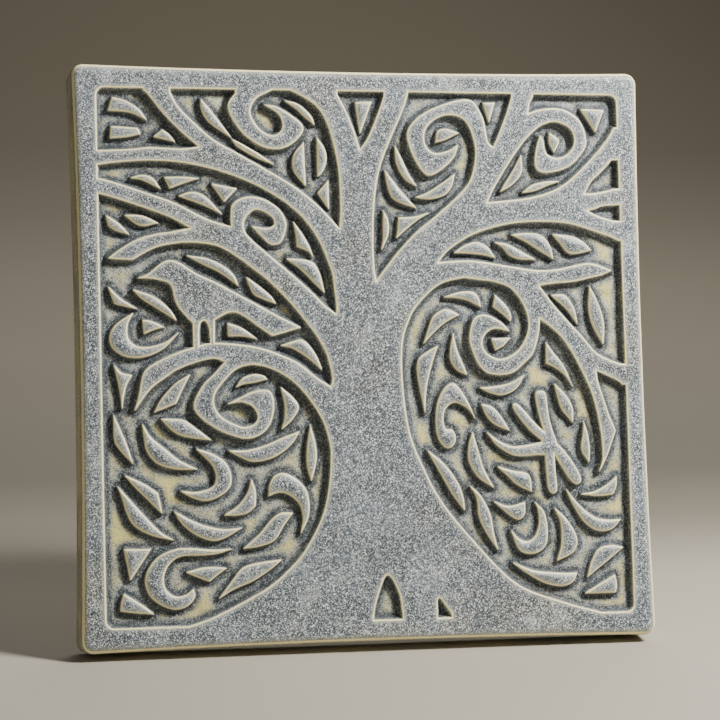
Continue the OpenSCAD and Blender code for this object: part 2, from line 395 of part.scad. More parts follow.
module border_frame() {
    color(clay_cream) raised(relief_y, relief_h) difference() {
        polygon(plate(tile_w, tile_h, corner_r, side_bow, side_bow));
        opening_shape();
    }
}

module tree() {
    color(clay_grey) raised(relief_y, relief_h) difference() {
        standing_shape();
        hanging_region();
    }
}

module hanging_curl() {
    color(clay_grey) raised(relief_y, relief_h) intersection() {
        standing_shape();
        hanging_region();
    }
}

// The crow's feet end on the perch, so the tree's own shape is left out of them.
module crow() {
    color(clay_blue) raised(relief_y, relief_h) difference() {
        carved(CROW);
        standing_shape();
    }
}

module dragonfly() sprig([DRAGONFLY]);
module nest_curl() sprig([NEST_CURL, NEST_BUD]);
module meadow_hook() sprig([MEADOW_HOOK]);
module claw_curl() sprig([CLAW_CURL]);
module root_hook() sprig([ROOT_HOOK]);
module shade_hook() sprig([SHADE_HOOK]);
module pond_hook() sprig([POND_HOOK]);
module corner_leaves() sprig(CORNER_LEAVES);
module upper_left_curl_leaves() sprig(UPPER_LEFT_CURL_LEAVES);
module crown_left_leaves() sprig(CROWN_LEFT_LEAVES);
module crown_leaf() sprig(CROWN_LEAF);
module crown_right_leaves() sprig(CROWN_RIGHT_LEAVES);
module top_curl_leaves() sprig(TOP_CURL_LEAVES);
module right_curl_leaves() sprig(RIGHT_CURL_LEAVES);
module left_bough_leaves() sprig(LEFT_BOUGH_LEAVES);
module inner_curl_leaves() sprig(INNER_CURL_LEAVES);
module left_edge_leaves() sprig(LEFT_EDGE_LEAVES);
module crow_back_leaves() sprig(CROW_BACK_LEAVES);
module crow_breast_leaves() sprig(CROW_BREAST_LEAVES);
module crow_tail_leaves() sprig(CROW_TAIL_LEAVES);
module perch_spike() sprig(PERCH_SPIKE);
module perch_leaves() sprig(PERCH_LEAVES);
module meadow_leaves() sprig(MEADOW_LEAVES);
module perch_curl_leaves() sprig(PERCH_CURL_LEAVES);
module trunk_left_leaves() sprig(TRUNK_LEFT_LEAVES);
module grass_blades() sprig(GRASS_BLADES);
module bowl_leaves() sprig(BOWL_LEAVES);
module root_left_leaves() sprig(ROOT_LEFT_LEAVES);
module root_hook_buds() sprig(ROOT_HOOK_BUDS);
module right_bough_leaves() sprig(RIGHT_BOUGH_LEAVES);
module right_edge_leaves() sprig(RIGHT_EDGE_LEAVES);
module shade_curl_leaves() sprig(SHADE_CURL_LEAVES);
module shade_curl_bud() sprig(SHADE_CURL_BUD);
module trunk_right_leaves() sprig(TRUNK_RIGHT_LEAVES);
module dragonfly_leaves() sprig(DRAGONFLY_LEAVES);
module root_right_leaves() sprig(ROOT_RIGHT_LEAVES);
module droop_leaves() sprig(DROOP_LEAVES);
module pond_leaves() sprig(POND_LEAVES);
module pond_cup() sprig(POND_CUP);
module reed_leaves() sprig(REED_LEAVES);
module corner_right_leaves() sprig(CORNER_RIGHT_LEAVES);

clay_slab();
border_frame();
tree();
hanging_curl();
crow();
dragonfly();
nest_curl();
meadow_hook();
claw_curl();
root_hook();
shade_hook();
pond_hook();
corner_leaves();
upper_left_curl_leaves();
crown_left_leaves();
crown_leaf();
crown_right_leaves();
top_curl_leaves();
right_curl_leaves();
left_bough_leaves();
inner_curl_leaves();
left_edge_leaves();
crow_back_leaves();
crow_breast_leaves();
crow_tail_leaves();
perch_spike();
perch_leaves();
meadow_leaves();
perch_curl_leaves();
trunk_left_leaves();
grass_blades();
bowl_leaves();
root_left_leaves();
root_hook_buds();
right_bough_leaves();
right_edge_leaves();
shade_curl_leaves();
shade_curl_bud();
trunk_right_leaves();
dragonfly_leaves();
root_right_leaves();
droop_leaves();
pond_leaves();
pond_cup();
reed_leaves();
corner_right_leaves();
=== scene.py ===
"""Visual model of a square glazed relief tile: a tree of life, a crow, a dragonfly, curls and leaves.

Every carved piece is a closed mesa whose top follows the outline of its exact solid. Its wall slopes
outwards to the ground, so neighbouring walls meet in valleys and the glaze can follow their edges.
"""

import json
import logging
import math
from dataclasses import dataclass, field
from enum import Enum

import bmesh
import bpy
import numpy as np
from mathutils import Matrix, Vector
from mathutils.geometry import delaunay_2d_cdt

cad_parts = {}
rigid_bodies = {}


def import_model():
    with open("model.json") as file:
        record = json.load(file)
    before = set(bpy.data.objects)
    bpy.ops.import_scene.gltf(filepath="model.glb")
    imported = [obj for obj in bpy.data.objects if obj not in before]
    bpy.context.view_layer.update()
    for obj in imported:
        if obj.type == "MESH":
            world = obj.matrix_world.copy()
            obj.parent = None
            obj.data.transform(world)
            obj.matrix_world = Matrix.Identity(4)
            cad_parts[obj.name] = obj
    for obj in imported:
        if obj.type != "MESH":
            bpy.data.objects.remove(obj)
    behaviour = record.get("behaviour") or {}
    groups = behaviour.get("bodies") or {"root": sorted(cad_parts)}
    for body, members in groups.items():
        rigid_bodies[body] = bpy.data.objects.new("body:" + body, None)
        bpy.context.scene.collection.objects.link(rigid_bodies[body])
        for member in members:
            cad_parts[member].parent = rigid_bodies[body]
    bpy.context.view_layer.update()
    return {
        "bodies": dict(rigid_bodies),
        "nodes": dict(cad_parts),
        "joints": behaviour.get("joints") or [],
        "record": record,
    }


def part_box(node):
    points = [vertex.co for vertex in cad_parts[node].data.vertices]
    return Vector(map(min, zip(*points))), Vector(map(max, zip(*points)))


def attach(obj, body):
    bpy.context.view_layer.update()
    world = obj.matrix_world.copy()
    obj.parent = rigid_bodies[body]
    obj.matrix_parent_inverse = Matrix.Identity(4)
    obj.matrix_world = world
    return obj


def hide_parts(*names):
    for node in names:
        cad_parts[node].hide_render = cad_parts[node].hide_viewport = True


LOG = logging.getLogger("tile")
MM = 0.001
RIM_STEP = 0.34  # longest side of a carved outline, in millimetres
TOP_STEP = 0.62  # spacing of the points on a carved top
GROUND_STEP = 0.55  # spacing of the points on the ground
SLAB_RIM_STEP = 0.7  # longest side of the slab's outline
OPEN_GROUND = 6.0  # distance from any wall beyond which the ground is taken as open


class Slot(Enum):
    """The record's material slots."""

    CLAY = "fired_clay"
    BORDER = "border_glaze"
    TREE = "tree_glaze"
    CROW = "crow_glaze"
    LEAF = "glazed_leaf"


# ---- plane geometry, in millimetres --------------------------------------------------------------


def cap_loops(node: bpy.types.Object) -> list[np.ndarray]:
    """Reads the closed outlines of a node's front face.

    Args:
        node: The exact solid, whose front face looks along -Y.

    Returns:
        One array of (x, z) points in millimetres per loop.
    """
    bm = bmesh.new()
    bm.from_mesh(node.data)
    bmesh.ops.remove_doubles(bm, verts=bm.verts, dist=1e-6)
    front = min(v.co.y for v in bm.verts)
    on_cap = {f for f in bm.faces if all(abs(v.co.y - front) < 2e-6 for v in f.verts)}
    following: dict[int, list] = {}
    for face in (f for f in bm.faces if f in on_cap):
        for loop in face.loops:
            if sum(other in on_cap for other in loop.edge.link_faces) == 1:
                following.setdefault(loop.vert.index, []).append(loop.link_loop_next.vert)
    bm.verts.ensure_lookup_table()
    loops = []
    while following:
        start = next(iter(following))
        here, points = start, []
        while here in following:
            points.append([bm.verts[here].co.x / MM, bm.verts[here].co.z / MM])
            options = following[here]
            nxt = options.pop().index
            if not options:
                del following[here]
            here = nxt
        if len(points) > 2:
            loops.append(np.array(points))
    bm.free()
    return loops


def segments(loops: list[np.ndarray]) -> tuple[np.ndarray, np.ndarray]:
    """Start and end points of every side of the loops.

    Args:
        loops: Closed outlines.

    Returns:
        The start points and the end points.
    """
    start = np.concatenate(loops)
    end = np.concatenate([np.roll(loop, -1, axis=0) for loop in loops])
    return start, end


def segment_distance(points: np.ndarray, a: np.ndarray, b: np.ndarray) -> np.ndarray:
    """Distance of every point to every side from a to b.

    Args:
        points: One (x, z) point per row.
        a: Start of each side.
        b: End of each side.

    Returns:
        One row per point and one column per side.
    """
    ab = b - a
    ap = points[:, None, :] - a
    t = np.clip((ap * ab).sum(2) / np.maximum((ab**2).sum(1), 1e-12), 0, 1)
    return np.sqrt(((ap - t[..., None] * ab) ** 2).sum(2))


def side_of(p: np.ndarray, q: np.ndarray, r: np.ndarray) -> np.ndarray:
    """On which side of the line from p to q the point r lies.

    Args:
        p: Start of the line.
        q: End of the line.
        r: The point.

    Returns:
        True where r lies to the left.
    """
    along, out = q - p, r - p
    return along[..., 0] * out[..., 1] > along[..., 1] * out[..., 0]


def crossings(here: np.ndarray, there: np.ndarray, a: np.ndarray, b: np.ndarray) -> np.ndarray:
    """How many sides from a to b the straight way from here to each point there crosses.

    Args:
        here: Where the way starts.
        there: Points where it ends.
        a: Start of each side.
        b: End of each side.

    Returns:
        One count per point.
    """
    start = np.broadcast_to(here, (len(there), 1, 2))
    end = there[:, None, :]
    apart = side_of(a, b, start) != side_of(a, b, end)
    across = side_of(start, end, a[None]) != side_of(start, end, b[None])
    return (apart & across).sum(1)


def signed_distance(points: np.ndarray, loops: list[np.ndarray], cell: float = 3.0) -> np.ndarray:
    """Distance of each point to the loops, negative inside them.

    Args:
        points: Points to measure, one (x, z) per row.
        loops: Closed outlines and the holes in them.
        cell: Size of the squares whose points are measured together, against the sides near them.

    Returns:
        One signed distance in millimetres per point.
    """
    a, b = segments(loops)
    result = np.empty(len(points))
    keys = np.floor(points / cell).astype(np.int64)
    order = np.lexsort((keys[:, 1], keys[:, 0]))
    ordered = keys[order]
    starts = np.flatnonzero(np.r_[True, np.any(ordered[1:] != ordered[:-1], axis=1)])
    far = np.array([[1013.7, 977.3]])
    for first, last in zip(starts, np.r_[starts[1:], len(points)]):
        chosen = order[first:last]
        centre = (ordered[first] + 0.5) * cell + (0.0137, 0.0071)
        reach = segment_distance(centre[None], a, b)[0]
        near = reach <= reach.min() + cell * 1.45
        inside = crossings(centre, far, a, b)[0] % 2
        p = points[chosen]
        dist = segment_distance(p, a[near], b[near]).min(1)
        inside = (inside + crossings(centre, p, a[near], b[near])) % 2 == 1
        result[chosen] = np.where(inside, -dist, dist)
    return result


def resample(loop: np.ndarray, step: float) -> np.ndarray:
    """The loop with extra points on its sides, so that none is longer than step.

    Args:
        loop: Closed outline.
        step: Longest side, in millimetres.

    Returns:
        The finer outline.
    """
    parts = []
    for a, b in zip(loop, np.roll(loop, -1, axis=0)):
        n = max(1, math.ceil(np.linalg.norm(b - a) / step))
        parts.append(a + (b - a) * (np.arange(n) / n)[:, None])
    return np.concatenate(parts)


def normals(loop: np.ndarray) -> np.ndarray:
    """Unit vector across the loop at each of its points, by its neighbours.

    Args:
        loop: Closed outline.

    Returns:
        One vector per point.
    """
    along = np.roll(loop, -1, axis=0) - np.roll(loop, 1, axis=0)
    along /= np.maximum(np.linalg.norm(along, axis=1), 1e-9)[:, None]
    return np.stack([along[:, 1], -along[:, 0]], axis=1)


def thin(points: np.ndarray, gap: float) -> np.ndarray:
    """Keeps the first point in each cell of a square grid, so that no crowd is left.

    Args:
        points: Points in plan.
        gap: Size of the cells, in millimetres.

    Returns:
        The points kept.
    """
    keys = np.round(points / gap).astype(np.int64)
    _, first = np.unique(keys, axis=0, return_index=True)
    return points[np.sort(first)]


def wave(p: np.ndarray, length: float, seed: int) -> np.ndarray:
    """Smooth irregular waves between -1 and 1, of about that length in millimetres.

    Args:
        p: Points in plan.
        length: Length of the waves.
        seed: Seed of their directions and phases.

    Returns:
        One height per point.
    """
    rng = np.random.default_rng(seed)
    total = np.zeros(len(p))
    for _ in range(16):
        angle = rng.uniform(0, math.tau)
        k = math.tau / (length * rng.uniform(0.7, 1.6))
        phase = rng.uniform(0, math.tau)
        total += np.sin(p[:, 0] * k * math.cos(angle) + p[:, 1] * k * math.sin(angle) + phase)
    return np.clip(total / 4.8, -1, 1)


def overlap(loops: list[np.ndarray], touching, shift) -> list[np.ndarray]:
    """Carries the stretches where a piece touches its neighbour a little way under it.

    Args:
        loops: The piece's outlines.
        touching: Function of an (x, z) point, true where it lies on the seam.
        shift: Function of an (x, z) point on the seam, giving how far to move it.

    Returns:
        The outlines with their seams moved, the rest as it was.
    """
    result = []
    for loop in loops:
        on = [bool(touching(p)) for p in loop]
        points = []
        for i, p in enumerate(loop):
            if not on[i]:
                points.append(p)
                continue
            if not on[i - 1]:
                points.append(p)
            points.append(p + shift(p))
            if not on[(i + 1) % len(loop)]:
                points.append(p)
        result.append(np.array(points))
    return result


# ---- profile of the carving ----------------------------------------------------------------------


@dataclass(frozen=True)
class Profile:
    """How a carved piece falls from its top to the ground.

    Args:
        depth: Height of the carving over the ground, in millimetres.
        wall: Width of the sloping wall in plan.
        crest: Width over which the top's edge is rounded.
        soften: How far the crest lies below the top.
        sink: How far the wall goes on below the ground.
    """

    depth: float = 2.25
    wall: float = 1.5
    crest: float = 0.45
    soften: float = 0.1
    sink: float = 0.45

    @property
    def reach(self) -> float:
        """Width of the wall in plan, with the part below the ground."""
        return self.wall * (1 + 0.6 * self.sink / self.depth)

    def fall(self, d: np.ndarray) -> np.ndarray:
        """Depth below the top at signed distance d from the outline.

        Args:
            d: Signed distances from the outline, in millimetres.

        Returns:
            One depth per distance.
        """
        inside = self.soften * np.clip(1 + d / self.crest, 0, 1) ** 2
        t = np.clip(d / self.wall, 0, 1)
        steep = 0.8 * (1 - (1 - t) ** 1.9) + 0.2 * t
        ease = (self.depth - self.soften) * steep
        below = np.clip((d - self.wall) / max(self.reach - self.wall, 1e-6), 0, 1) * self.sink
        return np.where(d < 0, inside, self.soften + ease + below)

    def rings(self) -> list[float]:
        """Distances at which rings of points follow the outline."""
        w = self.wall
        top = [-self.crest * share for share in (1.0, 0.5, 0.2)]
        return [*top, 0.0, 0.12, w * 0.2, w * 0.4, w * 0.62, w * 0.82, w, self.reach]


# ---- finishes ------------------------------------------------------------------------------------


def colour(hexa: str) -> tuple[float, float, float, float]:
    """Linear colour of a six-digit sRGB code.

    Args:
        hexa: The code, without a sign before it.

    Returns:
        Red, green, blue and alpha.
    """
    parts = [int(hexa[i : i + 2], 16) / 255 for i in (0, 2, 4)]
    return (*[c / 12.92 if c <= 0.04045 else ((c + 0.055) / 1.055) ** 2.4 for c in parts], 1.0)


class Graph:
    """Small helper that adds and joins shader nodes."""

    def __init__(self, tree: bpy.types.NodeTree) -> None:
        self.tree = tree

    def add(self, kind: str, **settings) -> bpy.types.Node:
        """Adds a node. Settings named in_0, in_Vector and so on fill its inputs or link to them."""
        node = self.tree.nodes.new(kind)
        inputs = {k: v for k, v in settings.items() if k.startswith("in_")}
        for key, value in settings.items():
            if key not in inputs:
                setattr(node, key, value)
        for key, value in inputs.items():
            name = key[3:].replace("_", " ")
            self.set(node.inputs[int(name)] if name.isdigit() else node.inputs[name], value)
        return node

    def set(self, socket: bpy.types.NodeSocket, value) -> None:
        """Links a socket to another, or sets its constant.

        Args:
            socket: The socket to fill.
            value: Another socket, or a constant.
        """
        if isinstance(value, bpy.types.NodeSocket):
            self.tree.links.new(value, socket)
        else:
            socket.default_value = value

    def math(self, operation: str, a, b=0.0) -> bpy.types.NodeSocket:
        """One arithmetic step.

        Args:
            operation: Name of the operation.
            a: First value.
            b: Second value.

        Returns:
            The result's socket.
        """
        return self.add("ShaderNodeMath", operation=operation, in_0=a, in_1=b).outputs[0]

    def remap(self, value, low: float, high: float, to_low: float = 0.0, to_high: float = 1.0):
        """Smooth change from to_low to to_high while value goes from low to high.

        Args:
            value: What drives the change.
            low: Where it starts.
            high: Where it ends.
            to_low: Result at the start.
            to_high: Result at the end.

        Returns:
            The result's socket.
        """
        node = self.add("ShaderNodeMapRange", interpolation_type="SMOOTHSTEP", in_Value=value)
        for name, number in zip(("From Min", "From Max", "To Min", "To Max"), (low, high, to_low, to_high)):
            node.inputs[name].default_value = number
        return node.outputs["Result"]

    def noise(self, vector, scale: float, detail: float = 2.0, rough: float = 0.5) -> bpy.types.NodeSocket:
        """Noise value at that scale, per metre.

        Args:
            vector: Where it is read.
            scale: How many waves there are in a metre.
            detail: How many finer layers.
            rough: How strong they are.

        Returns:
            The noise's socket.
        """
        node = self.add("ShaderNodeTexNoise", in_Vector=vector)
        for name, number in zip(("Scale", "Detail", "Roughness"), (scale, detail, rough)):
            node.inputs[name].default_value = number
        return node.outputs["Fac"]

    def mix(self, fac, a, b) -> bpy.types.NodeSocket:
        """Mixes two colours.

        Args:
            fac: Share of the second colour.
            a: First colour.
            b: Second colour.

        Returns:
            The mixed colour's socket.
        """
        node = self.add("ShaderNodeMix", data_type="RGBA")
        self.set(node.inputs["Factor"], fac)
        self.set(node.inputs["A"], a)
        self.set(node.inputs["B"], b)
        return node.outputs["Result"]


def group(name: str, inputs: dict[str, str], outputs: dict[str, str]):
    """Starts a shader node group.

    Args:
        name: The group's name.
        inputs: Socket types by name.
        outputs: Socket types by name.

    Returns:
        The group's tree, its helper, its input node and its output node.
    """
    tree = bpy.data.node_groups.new(name, "ShaderNodeTree")
    for label, kind in inputs.items():
        tree.interface.new_socket(label, in_out="INPUT", socket_type=kind)
    for label, kind in outputs.items():
        tree.interface.new_socket(label, in_out="OUTPUT", socket_type=kind)
    graph = Graph(tree)
    return tree, graph, graph.add("NodeGroupInput"), graph.add("NodeGroupOutput")


def speckle_group() -> bpy.types.NodeTree:
    """Fine light and dark flecks of a matt crystalline glaze, and the height that goes with them."""
    tree, g, src, out = group(
        "glaze_speckle",
        {"Vector": "NodeSocketVector"},
        {"Light": "NodeSocketFloat", "Dark": "NodeSocketFloat", "Height": "NodeSocketFloat"},
    )
    vector = src.outputs["Vector"]
    turned = g.add("ShaderNodeMapping", in_Vector=vector)
    turned.inputs["Rotation"].default_value = (0.5, 0.9, 0.3)
    vector = turned.outputs["Vector"]
    fine = g.noise(vector, 3300.0, 2.0, 0.6)
    coarse = g.noise(vector, 1300.0, 3.0, 0.65)
    both = g.math("ADD", g.math("MULTIPLY", fine, 0.75), g.math("MULTIPLY", coarse, 0.25))
    g.set(out.inputs["Light"], g.remap(both, 0.53, 0.6))
    g.set(out.inputs["Dark"], g.remap(both, 0.495, 0.42))
    g.set(out.inputs["Height"], both)
    return tree


def cloud_group() -> bpy.types.NodeTree:
    """Large soft patches where the glaze runs blue, grey or brown."""
    tree, g, src, out = group(
        "glaze_clouds",
        {"Vector": "NodeSocketVector"},
        {"Brown": "NodeSocketFloat", "Blue": "NodeSocketFloat", "Pale": "NodeSocketFloat"},
    )
    vector = src.outputs["Vector"]
    shifted = g.add("ShaderNodeVectorMath", operation="ADD", in_0=vector, in_1=(0.31, 0.17, 0.05)).outputs[0]
    g.set(out.inputs["Brown"], g.remap(g.noise(vector, 34.0, 4.0, 0.6), 0.5, 0.66))
    g.set(out.inputs["Blue"], g.remap(g.noise(shifted, 60.0, 4.0, 0.6), 0.46, 0.64))
    g.set(out.inputs["Pale"], g.remap(g.noise(shifted, 150.0, 5.0, 0.65), 0.5, 0.72))
    return tree


def break_group() -> bpy.types.NodeTree:
    """Where the glaze runs thin off an edge and shows cream, with a painted highlight inside the crest and
    painted shade in a recess.
    """
    tree, g, src, out = group(
        "glaze_break_and_painted_light",
        {"Vector": "NodeSocketVector", "Crest": "NodeSocketFloat", "Fall": "NodeSocketFloat"},
        {label: "NodeSocketFloat" for label in ("Edge", "CrestHighlight", "RecessShade", "Pool", "Open")},
    )
    vector, crest, fall = src.outputs["Vector"], src.outputs["Crest"], src.outputs["Fall"]
    drift = g.math("MULTIPLY", g.math("SUBTRACT", g.noise(vector, 420.0, 3.0, 0.6), 0.5), 0.34)
    off = g.math("ABSOLUTE", g.math("ADD", crest, 0.1))
    near = g.math("ADD", off, g.math("MULTIPLY", drift, 0.45))
    g.set(out.inputs["Edge"], g.remap(near, 0.27, 0.13))
    # Painted highlight: a soft pale band just inside each crest, standing in for the light caught by the
    # rounded top edge.
    crest_highlight = g.math("POWER", g.remap(near, 1.5, 0.1), 1.5)
    g.set(out.inputs["CrestHighlight"], g.math("MULTIPLY", crest_highlight, g.remap(crest, 0.35, 0.0)))
    patch = g.math("MULTIPLY", g.math("SUBTRACT", g.noise(vector, 125.0, 3.0, 0.6), 0.5), 6.0)
    g.set(out.inputs["Pool"], g.remap(g.math("ADD", crest, patch), 1.9, 4.4))
    g.set(out.inputs["Open"], g.remap(g.math("ADD", crest, g.math("MULTIPLY", drift, 3.0)), 1.3, 2.6))
    # Painted shade: a dark band on the walls and on the ground beside them, standing in for the shadow in the
    # recesses.
    low = g.math("MULTIPLY", g.remap(crest, 0.05, 0.5), g.remap(crest, 2.0, 1.0))
    g.set(out.inputs["RecessShade"], g.math("MULTIPLY", low, g.remap(fall, 0.5, 1.6)))
    return tree


@dataclass(frozen=True)
class Finish:
    """A glaze or bare clay.

    Args:
        name: Material name.
        base: Main colour.
        light: Colour of the light flecks.
        dark: Colour of the dark flecks.
        brown: Colour of the brown clouds.
        cream: Colour on the edges.
        recess_shade: Colour of the painted shade that darkens the recesses.
        edge: How strongly the edges break to cream, and how strong the painted highlight inside them is.
        clouds: How strong the brown clouds are.
        rough: Roughness of the surface.
        pool: Colour of the yellow glaze that gathers in the open ground.
        pools: How strongly it gathers.
    """

    name: str
    base: str = "576067"
    light: str = "f4f6ee"
    dark: str = "262b2d"
    brown: str = "57544c"
    cream: str = "fff1b4"
    # Near-black painted shade for the recesses.
    recess_shade: str = "171b1c"
    edge: float = 1.0
    clouds: float = 0.55
    rough: float = 0.42
    pool: str = "ddcf7e"
    pools: float = 0.95

    def build(self) -> bpy.types.Material:
        """Makes the material."""
        found = bpy.data.materials.get(self.name)
        if found:
            return found
        material = bpy.data.materials.new(self.name)
        material.use_nodes = True
        tree = material.node_tree
        tree.nodes.clear()
        g = Graph(tree)
        out = g.add("ShaderNodeOutputMaterial")
        skin = g.add("ShaderNodeBsdfPrincipled")
        vector = g.add("ShaderNodeTexCoord").outputs["Object"]
        crest = g.add("ShaderNodeAttribute", attribute_name="crest").outputs["Fac"]
        fall = g.add("ShaderNodeAttribute", attribute_name="fall").outputs["Fac"]
        flecks = g.add("ShaderNodeGroup", node_tree=shared("glaze_speckle", speckle_group))
        clouds = g.add("ShaderNodeGroup", node_tree=shared("glaze_clouds", cloud_group))
        edges = g.add("ShaderNodeGroup", node_tree=shared("glaze_break_and_painted_light", break_group))
        for node in (flecks, clouds, edges):
            g.set(node.inputs["Vector"], vector)
        g.set(edges.inputs["Crest"], crest)
        g.set(edges.inputs["Fall"], fall)
        brown = g.math("MULTIPLY", clouds.outputs["Brown"], self.clouds)
        tone = g.mix(brown, colour(self.base), colour(self.brown))
        tone = g.mix(g.math("MULTIPLY", clouds.outputs["Blue"], 0.5), tone, colour("76828d"))
        tone = g.mix(g.math("MULTIPLY", clouds.outputs["Pale"], 0.22), tone, colour(self.light))
        tone = g.mix(g.math("MULTIPLY", edges.outputs["Open"], 0.68 * self.pools), tone, colour("bfbfa6"))
        # Painted shade: darkens the walls and the ground near them.
        tone = g.mix(g.math("MULTIPLY", edges.outputs["RecessShade"], 0.65), tone, colour(self.recess_shade))
        tone = g.mix(g.math("MULTIPLY", flecks.outputs["Dark"], 0.8), tone, colour(self.dark))
        bare = g.remap(fall, 0.3, 1.4, 0.9, 0.3)
        tone = g.mix(g.math("MULTIPLY", flecks.outputs["Light"], bare), tone, colour(self.light))
        kept = g.math("SUBTRACT", 1.0, g.math("MULTIPLY", flecks.outputs["Dark"], 0.5))
        pool = g.math("MULTIPLY", g.math("MULTIPLY", edges.outputs["Pool"], kept), self.pools)
        tone = g.mix(pool, tone, colour(self.pool))
        # Painted highlight: a pale band just inside each crest.
        tone = g.mix(g.math("MULTIPLY", edges.outputs["CrestHighlight"], 0.45 * self.edge), tone, colour("c6c8b8"))
        tone = g.mix(g.math("MULTIPLY", edges.outputs["Edge"], self.edge), tone, colour(self.cream))
        bump = g.add("ShaderNodeBump", in_Height=flecks.outputs["Height"])
        bump.inputs["Strength"].default_value = 0.35
        bump.inputs["Distance"].default_value = 0.00012
        g.set(skin.inputs["Base Color"], tone)
        g.set(skin.inputs["Normal"], bump.outputs["Normal"])
        grain = g.math("MULTIPLY", flecks.outputs["Height"], 0.25)
        g.set(skin.inputs["Roughness"], g.math("ADD", grain, self.rough - 0.12))
        skin.inputs["Specular IOR Level"].default_value = 0.42
        tree.links.new(skin.outputs["BSDF"], out.inputs["Surface"])
        return material


def shared(name: str, maker) -> bpy.types.NodeTree:
    """The node group of that name, made on its first use.

    Args:
        name: The group's name.
        maker: Function that makes it.

    Returns:
        The group's tree.
    """
    return bpy.data.node_groups.get(name) or maker()


FINISHES = {
    Slot.CLAY: Finish("ground_pools", clouds=0.3, edge=0.0),
    Slot.BORDER: Finish("border_satin", brown="6f6c5f", clouds=0.5),
    Slot.TREE: Finish("tree_satin", clouds=0.7),
    Slot.CROW: Finish("crow_satin", clouds=0.35),
    Slot.LEAF: Finish("leaf_satin", clouds=0.2),
}
# The recess colours of the clays below are their painted shade; on the back it matches the base.
SIDE_CLAY = Finish("edge_clay", base="ddd2a6", light="ddd4ac", dark="6b6656", brown="94876b", recess_shade="a79c80",
                   edge=0.0, clouds=0.6, rough=0.6, pools=0.0)
BACK_CLAY = Finish("back_clay", base="b3a68a", light="cdc4a6", dark="8a806a", brown="a08f72", recess_shade="b3a68a",
                   edge=0.0, clouds=0.5, rough=0.75, pools=0.0)


# ---- pieces --------------------------------------------------------------------------------------


